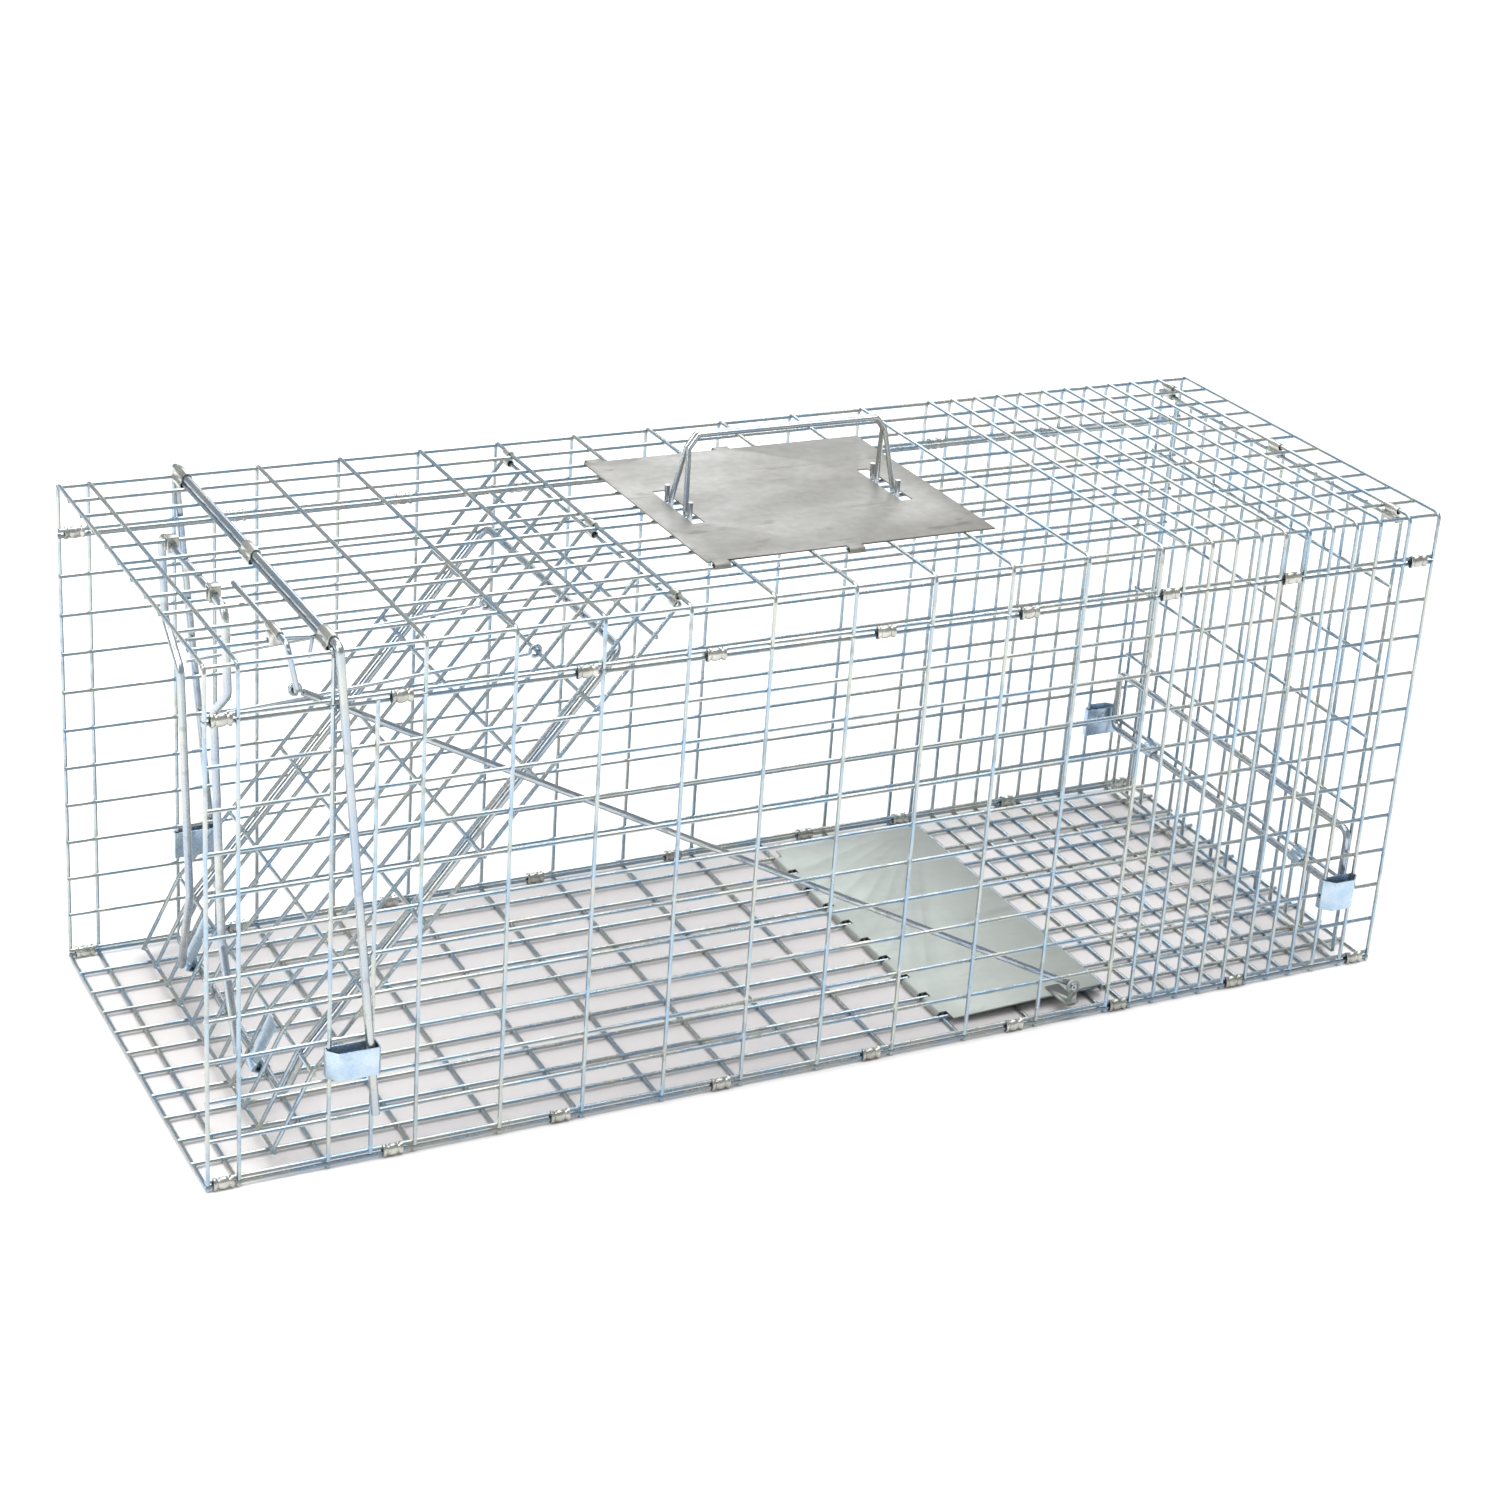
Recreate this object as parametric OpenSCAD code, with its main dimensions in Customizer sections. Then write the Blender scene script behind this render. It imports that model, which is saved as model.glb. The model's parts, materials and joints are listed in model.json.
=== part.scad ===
// Live catch trap: a welded-wire cage with a sloping gravity door at the front, a drop lock
// frame, a treadle trigger, a carrying handle and a hinged rear door.
// The cage lies along X with its front at -X. The origin is under the middle of the cage.

/* [Cage] */
// Length of the cage
cage_l = 800; // [798:1:802]
// Width of the cage, between the middles of its side panels
cage_w = 287; // [286:0.5:288]
// Cells across the width
cells_w = 11; // [11]
// Height of one side panel cell
cell_h = 25.4; // [25.2:0.1:25.6]
// Number of cells up a side panel
cells_h = 11; // [11]
// Depth of the roof's turned-down edges
skirt_h = 28.6; // [28:0.2:29]
// Pitch of the wide cells along the cage
coarse_pitch = 52.2; // [52:0.1:52.4]
// Pitch of the narrow cells at the rear end
fine_pitch = 18; // [17.8:0.1:18.2]

/* [Wire and sheet] */
// Diameter of the mesh wire
wire_d = 2.2; // [2:0.1:2.4]
// Diameter of the stiffening rods
rod_d = 5; // [4.6:0.2:5.2]
// Diameter of the trigger rod
trig_d = 4; // [3.6:0.2:4.2]
// Thickness of the sheet-metal clips
sheet = 0.8; // [0.7:0.1:0.9]
// Gap left between a part and its neighbour
gap = 0.3; // [0.25:0.05:0.35]

/* [Front door] */
// Width of the front door
door_w = 256; // [254:1:258]
// Slope of the closed front door, from the horizontal
door_slope = 50.6; // [50.4:0.1:50.8]
// Slope of its steeper bottom edge
kick_slope = 63.6; // [63:0.2:64]

/* [Treadle and handle] */
// Length of the treadle along the cage
treadle_l = 115; // [110:1:118]
// Width of the treadle
treadle_w = 248; // [244:1:250]
// Height of the handle above the roof
handle_h = 46; // [42:1:50]
// Length of the handle's guard plate
guard_l = 193; // [191:1:195]
// Width of the guard plate
guard_w = 176; // [174:1:178]

/* [Hidden] */

$fn = 32;
eps = 0.01;
bend_ball = 0.06;
half_w = cage_w / 2;
front_x = -cage_l / 2;
rod_r = rod_d / 2;
wire_r = wire_d / 2;

// Heights of the panels' wires
floor_z = sheet + gap + wire_r;
side_z = floor_z + wire_d + 1.6;
side_top_z = side_z + cells_h * cell_h;
skirt_z = side_top_z + wire_d + 1.6;
roof_z = skirt_z + skirt_h;
roof_top = roof_z + wire_r;
roof_under = roof_z - wire_r;

// Places of the cross wires along the cage, measured from the front
first_cell = 18;
coarse_n = 11;
fine_n = 9;
fine_from = first_cell + coarse_n * coarse_pitch;
rear_x = fine_from + fine_n * fine_pitch + (cage_l - fine_from - fine_n * fine_pitch) / 2;
cross_xs = concat(
    [0],
    [for (i = [0:coarse_n]) first_cell + i * coarse_pitch],
    [for (i = [1:fine_n]) fine_from + i * fine_pitch],
    [rear_x, cage_l]
);
keeper_x = 95.4;
side_xs = concat(cross_xs, [keeper_x]);
cell_w = cage_w / cells_w;

// Front door: hinge axis, top wire, bend and bottom edge, measured from the front
hinge_x = first_cell + 5 * coarse_pitch;
clip_drop = 5.2;
door_cells = 10;
door_pitch = door_w / door_cells;
kick_l = 51.6;
door_bottom_z = floor_z + wire_d + 3;
kick_top_z = door_bottom_z + kick_l * sin(kick_slope);
main_l = (roof_z - clip_drop - kick_top_z) / sin(door_slope);
kick_x = hinge_x - main_l * cos(door_slope);
eye_s = main_l - 5 * coarse_pitch;

// Lock frame: it hangs from the roof on its top bar
lock_x = 38;
lock_z = roof_under - 0.4 - rod_r;
lock_tilt = 1.6;
lock_top_w = 119;
lock_leg_w = 63;
lock_knee = [52, 74];
lock_foot = [222, 282];
lock_foot_w = 112;
lock_bend = 8;
link_y = 38.4;
link_r = 1.5;

// Trigger: lever axis, rod ends and treadle hinge
lever_x = 47;
lever_r = 1.7;
lever_z = roof_top + 4;
lever_arm = 29;
lever_lean = 12;
trig_y = -137.2;
treadle_x = first_cell + 9 * coarse_pitch;
crank_x = 570;
crank_z = 20;
treadle_tilt = 2;

// Rear door
rear_cells = 15;
rear_bottom_z = floor_z + wire_d + 3.4;
rear_w = rear_cells * fine_pitch;
latch_wire_z = rear_bottom_z + coarse_pitch;
latch_x = rear_x - wire_r - gap - rod_r;
latch_z = latch_wire_z - 5.4;
latch_h = 43;
latch_w = 274;

// Round rod from one point to another
module rod(a, b, r) {
    d = b - a;
    translate(a)
        rotate([0, atan2(norm([d[0], d[1]]), d[2]), atan2(d[1], d[0])])
            cylinder(h = norm(d), r = r);
}

// Round rod through a list of points, with a ball a little proud of the rod at each bend
module bent_rod(points, r) {
    for (i = [0:len(points) - 2])
        rod(points[i], points[i + 1], r);
    for (i = [1:len(points) - 2])
        translate(points[i]) sphere(r = r + bend_ball);
}

// Flat grid of square bars, wires across at xs and along at ys, in the XY plane
module grid(xs, ys) {
    translate([0, 0, -wire_r])
        linear_extrude(wire_d)
            union() {
                for (x = xs)
                    translate([x - wire_r, min(ys) - wire_r])
                        square([wire_d, max(ys) - min(ys) + wire_d]);
                for (y = ys)
                    translate([min(xs) - wire_r, y - wire_r])
                        square([max(xs) - min(xs) + wire_d, wire_d]);
            }
}

// Stands a flat grid up along the cage: its Y becomes height
module upright(y) translate([front_x, y, 0]) rotate([90, 0, 0]) children();

width_ys = [for (i = [0:cells_w]) -half_w + i * cell_w];

module floor_panel() {
    color("lightsteelblue")
        translate([front_x, 0, floor_z])
            grid(cross_xs, width_ys);
}

module side_panel(y) {
    color("lightsteelblue")
        upright(y)
            grid(side_xs, [for (i = [0:cells_h]) side_z + i * cell_h]);
}

module roof_panel() {
    color("silver")
        translate([front_x, 0, roof_z])
            grid(cross_xs, width_ys);
}

// Turned-down edge of the roof: it starts just under the roof's edge wire
module roof_skirt(y) {
    color("silver")
        upright(y)
            linear_extrude(wire_d, center = true)
                union() {
                    translate([-wire_r, skirt_z - wire_r]) square([cage_l + wire_d, wire_d]);
                    for (x = cross_xs)
                        translate([x - wire_r, skirt_z])
                            square([wire_d, roof_under - skirt_z]);
                }
}

top_clips = [9, 109, 217, 296, 405, 502, 601.2, 691.2, 788.5];
bottom_clips = [9, 109, 213, 318, 421, 524, 601.2, 691.2, 788.5];
clip_l = 12.5;

// Rolled sheet-metal clip round two wires, one above the other; low_z is the lower wire
module panel_clip(low_z) {
    inner_h = wire_d * 2 + 1.6 + 2 * gap;
    inner_w = wire_d + 2 * gap;
    translate([0, 0, low_z + wire_r + 0.8])
        rotate([90, 0, 90])
            linear_extrude(clip_l, center = true)
                difference() {
                    square([inner_w + 2 * sheet, inner_h + 2 * sheet], center = true);
                    square([inner_w, inner_h], center = true);
                }
}

module panel_clips(xs, low_z) {
    color("gainsboro")
        for (x = xs, side = [-1, 1])
            translate([front_x + x, side * half_w, 0]) panel_clip(low_z);
}

module top_panel_clips() panel_clips(top_clips, side_top_z);
module bottom_panel_clips() panel_clips(bottom_clips, floor_z);

hoop_x = 70.2 + 2.2;
hoop_z = roof_top + gap + rod_r;
hoop_y = half_w + wire_r + 0.5 + rod_r;
hoop_bend = 3.4;
hoop_tip = [97, 32];
hoop_lean = atan((hoop_tip[0] - hoop_x) / (hoop_z - hoop_tip[1]));

// Outer hoop: a bar across the roof whose two arms lean back down the outside of the cage
module front_hoop() {
    arm_l = (hoop_z - hoop_tip[1]) / cos(hoop_lean) - hoop_bend;
    color("silver")
        translate([front_x + hoop_x, 0, hoop_z])
            rotate([0, -hoop_lean, 0]) {
                rotate([90, 0, 0])
                    cylinder(h = 2 * (hoop_y - hoop_bend), r = rod_r, center = true);
                for (side = [-1, 1]) {
                    translate([0, side * hoop_y, -hoop_bend - arm_l])
                        cylinder(h = arm_l, r = rod_r);
                    translate([0, side * (hoop_y - hoop_bend), -hoop_bend])
                        rotate([0, -90, 0])
                            rotate([0, 0, side > 0 ? 0 : -90])
                                rotate_extrude(angle = 90)
                                    translate([hoop_bend, 0]) circle(r = rod_r);
                }
            }
}

// Sheet-metal sleeves that hold the hoop down on the roof's third cross wire
module hoop_sleeves() {
    dx = hoop_x - 70.2;
    color("gainsboro")
        for (y = [-5 * cell_w, 0, 5 * cell_w])
            translate([front_x + 70.2, y, roof_z])
                rotate([90, 0, 0])
                    linear_extrude(16, center = true)
                        difference() {
                            union() {
                                circle(r = wire_r * 1.42 + gap + sheet);
                                translate([dx, hoop_z - roof_z]) circle(r = rod_r + gap + sheet);
                                translate([-1.4, 0]) square([5.6, 4]);
                            }
                            circle(r = wire_r * 1.42 + gap);
                            translate([dx, hoop_z - roof_z]) circle(r = rod_r + gap);
                        }
}

// Folded plates round two upright wires of each side panel; the hoop's arm passes inside
module front_keeper_plates() {
    tall = 17.5;
    z = side_z + 2.5 * cell_h - tall / 2;
    o = wire_r + gap;
    x2 = keeper_x - 70.2;
    arm = rod_d + 1.4;
    outer = [
        [-o - sheet, -o - sheet], [x2 + 2.9, -o - sheet], [x2 + 2.9, o + arm - 0.4],
        [x2 + 1.4, o + arm + sheet], [3, o + arm + sheet], [-o - sheet, o + 1]
    ];
    inner = [
        [-o, -o], [x2 + 2.1, -o], [x2 + 2.1, o + arm - 0.8], [x2 + 1.1, o + arm],
        [3.4, o + arm], [-o, o + 0.6]
    ];
    color("lightblue")
        for (side = [-1, 1])
            translate([front_x + 70.2, side * half_w, z])
                mirror([0, side < 0 ? 1 : 0, 0])
                    linear_extrude(tall)
                        difference() {
                            polygon(outer);
                            polygon(inner);
                        }
}

module rear_keeper_plates() {
    o = wire_r + gap;
    w = rear_x - fine_from - fine_n * fine_pitch;
    low = side_z + 2 * cell_h - 9;
    outer = [
        [-o - sheet, -o - sheet], [w + o + sheet, -o - sheet], [w + o + sheet, o + sheet],
        [w - 4, 7 + sheet], [4, 7 + sheet], [-o - sheet, o + sheet]
    ];
    inner = [[-o, -o], [w + o, -o], [w + o, o], [w - 4.3, 7], [4.3, 7], [-o, o]];
    color("lightblue")
        difference() {
            for (side = [-1, 1])
                translate([front_x + fine_from + fine_n * fine_pitch, side * half_w, low])
                    mirror([0, side < 0 ? 1 : 0, 0])
                        linear_extrude(20.5)
                            difference() {
                                polygon(outer);
                                polygon(inner);
                            }
            // Notches where the panel's lengthwise wire passes
            for (side = [-1, 1])
                translate([front_x + fine_from + fine_n * fine_pitch - 6,
                           side * half_w - wire_r - gap, side_z + 2 * cell_h - wire_r - gap])
                    cube([w + 12, wire_d + 2 * gap, wire_d + 2 * gap]);
        }
}

guard_x = 315;
slot_x = [338.5, 480];
guard_z = roof_top + gap;
handle_r = 1.6;

// Plate under the carrying hand, with two slots for the handle's legs and hooked tabs
module guard_plate() {
    tab_r = wire_r * 1.42 + gap;
    color("darkgray") {
        difference() {
            translate([front_x + guard_x, -guard_w / 2, guard_z]) cube([guard_l, guard_w, 1]);
            for (x = slot_x)
                translate([front_x + x - 4, -29, guard_z - 1]) cube([8, 58, 3]);
        }
        for (x = [guard_x + 8, guard_x + 96], side = [-1, 1])
            translate([front_x + x, side * 3.5 * cell_w, roof_z])
                rotate([90, 0, 90])
                    linear_extrude(10, center = true)
                        difference() {
                            union() {
                                circle(r = tab_r + sheet);
                                translate([side > 0 ? -5 : 0, tab_r - 0.25]) square([5, 1]);
                            }
                            circle(r = tab_r);
                            translate([-5, -5]) square([10, 4]);
                        }
    }
}

// Carrying handle: two wires side by side along the top. Each leg goes down through a slot
// inside a lengthwise roof wire, and its end curls under that wire and up on the other side
module carry_handle() {
    top = roof_top + handle_h;
    leg_y = cell_w / 2 - wire_r - gap - handle_r;
    hook_y = cell_w / 2 + wire_r + gap + handle_r;
    grip_y = 1.9;
    foot_z = roof_under - gap - handle_r;
    sill_z = guard_z + 2;
    tip_z = guard_z + 9;
    color("silver")
        for (side = [-1, 1])
            translate([front_x, 0, 0]) {
                for (end = [0, 1]) {
                    lean = end == 0 ? 1 : -1;
                    foot = [slot_x[end], side * leg_y, foot_z];
                    hook = [slot_x[end], side * hook_y, foot_z];
                    sill = [slot_x[end], side * leg_y, sill_z];
                    shoulder = [slot_x[end] + 4 * lean, side * grip_y, top - 8];
                    grip = [slot_x[end] + 10 * lean, side * grip_y, top];
                    translate(foot) cylinder(h = sill_z - foot_z, r = handle_r);
                    translate(hook) cylinder(h = tip_z - foot_z, r = handle_r);
                    rod(foot, hook, handle_r);
                    rod(sill, shoulder, handle_r - bend_ball / 2);
                    rod(shoulder, grip, handle_r - bend_ball / 2);
                    for (bend = [foot, hook, sill, shoulder, grip])
                        translate(bend) sphere(r = handle_r + bend_ball);
                }
                rod([slot_x[0] + 10, side * grip_y, top], [slot_x[1] - 10, side * grip_y, top],
                    handle_r);
            }
}

// Stirrups that hang the lock frame's top bar from two lengthwise roof wires
module lock_hangers() {
    hole_r = rod_r + 0.08;
    cheek = 2.4;
    wall = 0.9;
    half_l = hole_r + 0.9;
    color("lightblue")
        for (side = [-1, 1])
            translate([front_x + lock_x, side * 1.5 * cell_w, 0])
                difference() {
                    translate([-half_l, -cheek - wall, lock_z - half_l])
                        cube([2 * half_l, 2 * (cheek + wall), roof_top + gap + wall - lock_z + half_l]);
                    translate([-half_l - 1, -cheek, lock_z - half_l - 1])
                        cube([2 * half_l + 2, 2 * cheek, roof_top + gap - lock_z + half_l + 1]);
                    translate([0, 0, lock_z])
                        rotate([90, 0, 0]) cylinder(h = 30, r = hole_r, center = true);
                }
}

// Sleeve on the roof that carries the trigger lever, hooked under a lengthwise wire
module trigger_bracket() {
    y = -4.5 * cell_w;
    color("gainsboro")
        translate([front_x + lever_x, y, 0])
            difference() {
                union() {
                    translate([0, 0, lever_z])
                        rotate([90, 0, 0]) cylinder(h = 17, r = lever_r + 0.08 + sheet, center = true);
                    translate([-4, -3, roof_under - 1.2]) cube([8, 6, 6.6]);
                }
                translate([0, 0, lever_z])
                    rotate([90, 0, 0]) cylinder(h = 20, r = lever_r + 0.08, center = true);
                translate([-5, -wire_r - gap, roof_under - gap])
                    cube([10, wire_d + 2 * gap, wire_d + 2 * gap]);
            }
}

// Places children in the sloping door's frame: X runs down the door from its top wire,
// Y across it, and +Z stands out of its upper face
module on_door() {
    translate([front_x + hinge_x, 0, roof_z - clip_drop])
        rotate([0, 0, 180])
            rotate([0, door_slope, 0])
                children();
}

module on_kick() {
    translate([front_x + kick_x, 0, kick_top_z])
        rotate([0, 0, 180])
            rotate([0, kick_slope, 0])
                children();
}

door_ys = [for (i = [0:door_cells]) -door_w / 2 + i * door_pitch];

module door_panel() {
    color("lightsteelblue")
        union() {
            on_door()
                grid(concat([0], [for (i = [-1:4]) eye_s + i * coarse_pitch], [main_l]), door_ys);
            on_kick() grid([0, kick_l], door_ys);
        }
}

door_rod_w = 204;
door_rod_top = 40;
bar_s = 28;

// Stiffening rod: a bar near the door's bottom, two arms up the slope and a bar near the top
module door_rod() {
    under = -wire_r - gap - rod_r;
    turn = 8;
    w = door_rod_w / 2;
    color("silver") {
        on_door() {
            for (side = [-1, 1]) {
                translate([door_rod_top + turn, side * w, under])
                    rotate([0, 90, 0]) cylinder(h = main_l - door_rod_top - turn, r = rod_r);
                translate([door_rod_top + turn, side * (w - turn), under])
                    rotate([0, 0, side > 0 ? 90 : 180])
                        rotate_extrude(angle = 90)
                            translate([turn, 0]) circle(r = rod_r);
            }
            translate([door_rod_top, 0, under])
                rotate([90, 0, 0]) cylinder(h = 2 * (w - turn), r = rod_r, center = true);
        }
        on_kick() {
            for (side = [-1, 1]) {
                translate([0, side * w, under])
                    rotate([0, 90, 0]) cylinder(h = bar_s - turn, r = rod_r);
                translate([0, side * w, under]) sphere(r = rod_r);
                translate([bar_s - turn, side * (w - turn), under])
                    rotate([0, 0, side > 0 ? 0 : -90])
                        rotate_extrude(angle = 90)
                            translate([turn, 0]) circle(r = rod_r);
            }
            translate([bar_s, 0, under])
                rotate([90, 0, 0]) cylinder(h = 2 * (w - turn), r = rod_r, center = true);
        }
    }
}

// Profile of a hinge clip: a ring round the roof wire and a ring round the door's top wire
module hinge_clip(l) {
    ring = wire_r * 1.42 + gap;
    rotate([90, 0, 0])
        linear_extrude(l, center = true)
            difference() {
                union() {
                    circle(r = ring + sheet);
                    translate([0, -clip_drop]) circle(r = ring + sheet);
                    translate([-1, -clip_drop]) square([2, clip_drop]);
                }
                circle(r = ring);
                translate([0, -clip_drop]) circle(r = ring);
            }
}

module door_hinge_clips() {
    color("gainsboro")
        for (place = [[-122.7, 7.4], [-6.5, 9.4], [122.7, 7.4]])
            translate([front_x + hinge_x, place[0], roof_z]) hinge_clip(place[1]);
}

catch_y = 64;

// Catch clips: each strip is rolled round the door's bottom bar and rises up its face
module door_catch_clips() {
    under = -wire_r - gap - rod_r;
    bore = rod_r + gap;
    face = wire_r + gap;
    color("lightblue")
        for (side = [-1, 1])
            on_kick()
                translate([0, side * catch_y, 0])
                    rotate([90, 0, 0])
                        linear_extrude(13, center = true)
                            difference() {
                                union() {
                                    translate([bar_s, under]) circle(r = bore + sheet);
                                    translate([bar_s - 1, under]) square([bore + 1.8, 7.6]);
                                    translate([0, face]) square([bar_s + bore + 0.8, 1]);
                                }
                                translate([bar_s, under]) circle(r = bore);
                                translate([bar_s - 2, under]) square([bore + 2, -under + face]);
                            }
}

// Drop lock frame: a rod bent in one plane, hung by its top bar
module lock_frame() {
    top = lock_top_w / 2;
    leg = lock_leg_w / 2;
    foot = lock_foot_w / 2;
    color("lightsteelblue")
        translate([front_x + lock_x, 0, lock_z])
            rotate([0, -lock_tilt, 0]) {
                rotate([90, 0, 0]) cylinder(h = 2 * (top - lock_bend), r = rod_r, center = true);
                for (side = [-1, 1]) {
                    translate([0, side * (top - lock_bend), -lock_bend])
                        rotate([0, -90, 0])
                            rotate([0, 0, side > 0 ? 0 : -90])
                                rotate_extrude(angle = 90)
                                    translate([lock_bend, 0]) circle(r = rod_r);
                    translate([0, side * top, -lock_knee[0]])
                        cylinder(h = lock_knee[0] - lock_bend, r = rod_r);
                    rod([0, side * top, -lock_knee[0]], [0, side * leg, -lock_knee[1]],
                        rod_r - bend_ball / 2);
                    translate([0, side * leg, -lock_foot[0]])
                        cylinder(h = lock_foot[0] - lock_knee[1], r = rod_r);
                    rod([0, side * leg, -lock_foot[0]], [0, side * foot, -lock_foot[1]],
                        rod_r - bend_ball / 2);
                    for (p = [[top, lock_knee[0]], [leg, lock_knee[1]], [leg, lock_foot[0]]])
                        translate([0, side * p[0], -p[1]]) sphere(r = rod_r + bend_ball);
                }
            }
}

eye_x = hinge_x - eye_s * cos(door_slope);
eye_z = roof_z - clip_drop - eye_s * sin(door_slope);
link_end = [lock_x + 7.5, lock_z - 72];

// Two link wires from eyes on a cross wire of the door towards the lock frame's knees
module lock_links() {
    ring_r = wire_r * 1.42 + gap;
    color("silver")
        for (side = [-1, 1])
            translate([front_x, side * link_y, 0]) {
                difference() {
                    union() {
                        rod([eye_x - ring_r, 0, eye_z], [link_end[0], 0, link_end[1]], link_r);
                        translate([eye_x, 0, eye_z])
                            rotate([90, 0, 0]) cylinder(h = 3.8, r = ring_r + 2.2, center = true);
                    }
                    translate([eye_x, 0, eye_z])
                        rotate([90, 0, 0]) cylinder(h = 8, r = ring_r, center = true);
                }
            }
}

lever_end = [lever_x + lever_arm * sin(lever_lean), lever_z - lever_arm * cos(lever_lean)];
lever_tip_y = -47;
finger_y = -129;
finger_l = 17;

// Trigger lever: a bar across the roof, an arm down to the trigger rod and a catch finger
module trigger_lever() {
    arm_y = trig_y;
    color("silver")
        translate([front_x, 0, 0]) {
            bent_rod([
                [lever_x, lever_tip_y, lever_z], [lever_x, arm_y, lever_z],
                [lever_end[0], arm_y, lever_end[1]],
                [lever_end[0], arm_y + 6.5, lever_end[1]]
            ], lever_r);
            bent_rod([
                [lever_x, finger_y, lever_z], [lever_x + finger_l, finger_y, lever_z - 1],
                [lever_x + finger_l - 2, finger_y, lever_z - 13]
            ], 1.2);
        }
}

// Trigger rod: an eye on the lever's pin, a long slope inside the near side, a pin at the crank
module trigger_rod() {
    y = trig_y + 4.4;
    r = trig_d / 2;
    bore = lever_r + 0.08;
    a = [lever_end[0], y, lever_end[1]];
    b = [crank_x, y, crank_z];
    d = (b - a) / norm(b - a);
    color("silver")
        translate([front_x, 0, 0])
            difference() {
                union() {
                    rod(a + d * (bore + 1), b, r);
                    translate(b) sphere(r = r);
                    rod(b, b + [0, -6.4, 0], r);
                    translate(a)
                        rotate([90, 0, 0]) cylinder(h = 2.6, r = bore + 2.4, center = true);
                }
                translate(a) rotate([90, 0, 0]) cylinder(h = 12, r = bore, center = true);
            }
}

// Treadle: a sheet hooked round a floor wire along its front edge, with a lip at the rear
module treadle_plate() {
    ring = wire_r * 1.42 + gap;
    hook_ys = [for (i = [-4:4]) i * cell_w];
    hook_w = 20;
    color("darkgray")
        translate([front_x + treadle_x, 0, floor_z])
            rotate([0, -treadle_tilt, 0]) {
                translate([4, -treadle_w / 2, ring]) cube([treadle_l - 4, treadle_w, 1]);
                for (y = hook_ys)
                    translate([0, y, 0])
                        rotate([90, 0, 0])
                            linear_extrude(hook_w, center = true)
                                difference() {
                                    union() {
                                        circle(r = ring + 1);
                                        translate([0, ring]) square([6, 1]);
                                    }
                                    circle(r = ring);
                                    translate([-8, -8]) square([16, 8 - 0.6]);
                                }
                translate([treadle_l - 1, -treadle_w / 2, ring - 4]) cube([1, treadle_w, 4 + eps]);
            }
}

// Crank under the treadle's near edge: a strip with a slotted eye for the trigger rod's pin
module treadle_crank() {
    y = trig_y - 0.6;
    ring = wire_r * 1.42 + gap;
    color("silver")
        translate([front_x, 0, 0])
            difference() {
                union() {
                    translate([crank_x, y, crank_z])
                        rotate([90, 0, 0]) cylinder(h = 1.6, r = 4.6, center = true);
                    translate([crank_x - 3, y - 0.8, floor_z + ring + 2.6]) cube([6, 1.6, 9]);
                    translate([treadle_x, 0, floor_z])
                        rotate([0, -treadle_tilt, 0])
                            translate([crank_x - treadle_x - 5, y - 0.8, ring + 1])
                                cube([10, 24, 1.2]);
                }
                translate([crank_x, y, crank_z])
                    rotate([90, 0, 0]) cylinder(h = 6, r = trig_d / 2 + 1.2, center = true);
            }
}

module rear_door_panel() {
    ys = [for (i = [0:rear_cells]) -rear_w / 2 + i * fine_pitch];
    zs = concat([for (i = [0:5]) rear_bottom_z + i * coarse_pitch], [roof_z - clip_drop]);
    color("lightsteelblue")
        translate([front_x + rear_x, 0, 0])
            rotate([0, -90, 0])
                grid(zs, ys);
}

module rear_hinge_clips() {
    color("gainsboro")
        for (y = [-126.2, 0, 126.2])
            translate([front_x + rear_x, y, roof_z]) hinge_clip(11.6);
}

// Clips that hold the latch ring's lower bar against the rear door
module latch_clips() {
    ring = wire_r * 1.42 + gap;
    color("lightblue")
        for (y = [-90, 90])
            translate([front_x, y, 0])
                rotate([90, 0, 0])
                    linear_extrude(12, center = true)
                        difference() {
                            union() {
                                translate([rear_x, latch_wire_z]) circle(r = ring + sheet);
                                translate([latch_x, latch_z]) circle(r = rod_r + 0.08 + sheet);
                                translate([latch_x - 1, latch_z + 1]) square([4.6, 4.6]);
                            }
                            translate([rear_x, latch_wire_z]) circle(r = ring);
                            translate([latch_x, latch_z]) circle(r = rod_r + 0.08);
                        }
}

// Rear latch: a rectangular ring of rod that turns on its lower bar
module latch_ring() {
    turn = 7;
    w = latch_w / 2;
    color("silver")
        translate([front_x + latch_x, 0, latch_z]) {
            for (z = [0, latch_h])
                translate([0, 0, z])
                    rotate([90, 0, 0]) cylinder(h = 2 * (w - turn), r = rod_r, center = true);
            for (side = [-1, 1]) {
                translate([0, side * w, turn]) cylinder(h = latch_h - 2 * turn, r = rod_r);
                for (top = [0, 1])
                    translate([0, side * (w - turn), top == 1 ? latch_h - turn : turn])
                        rotate([0, -90, 0])
                            rotate([0, 0, top == 1 ? (side > 0 ? 0 : -90) : (side > 0 ? 90 : 180)])
                                rotate_extrude(angle = 90)
                                    translate([turn, 0]) circle(r = rod_r);
            }
        }
}

floor_panel();
side_panel(-half_w);  // near_side_panel
side_panel(half_w);  // far_side_panel
roof_panel();
roof_skirt(-half_w);  // near_roof_skirt
roof_skirt(half_w);  // far_roof_skirt
top_panel_clips();
bottom_panel_clips();
front_hoop();
hoop_sleeves();
front_keeper_plates();
rear_keeper_plates();
guard_plate();
carry_handle();
lock_hangers();
trigger_bracket();
door_panel();
door_rod();
door_hinge_clips();
door_catch_clips();
lock_frame();
lock_links();
trigger_lever();
trigger_rod();
treadle_plate();
treadle_crank();
rear_door_panel();
rear_hinge_clips();
latch_clips();
latch_ring();
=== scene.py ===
import json
import math
import random

import bmesh
import bpy
from mathutils import Matrix, Vector


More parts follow.
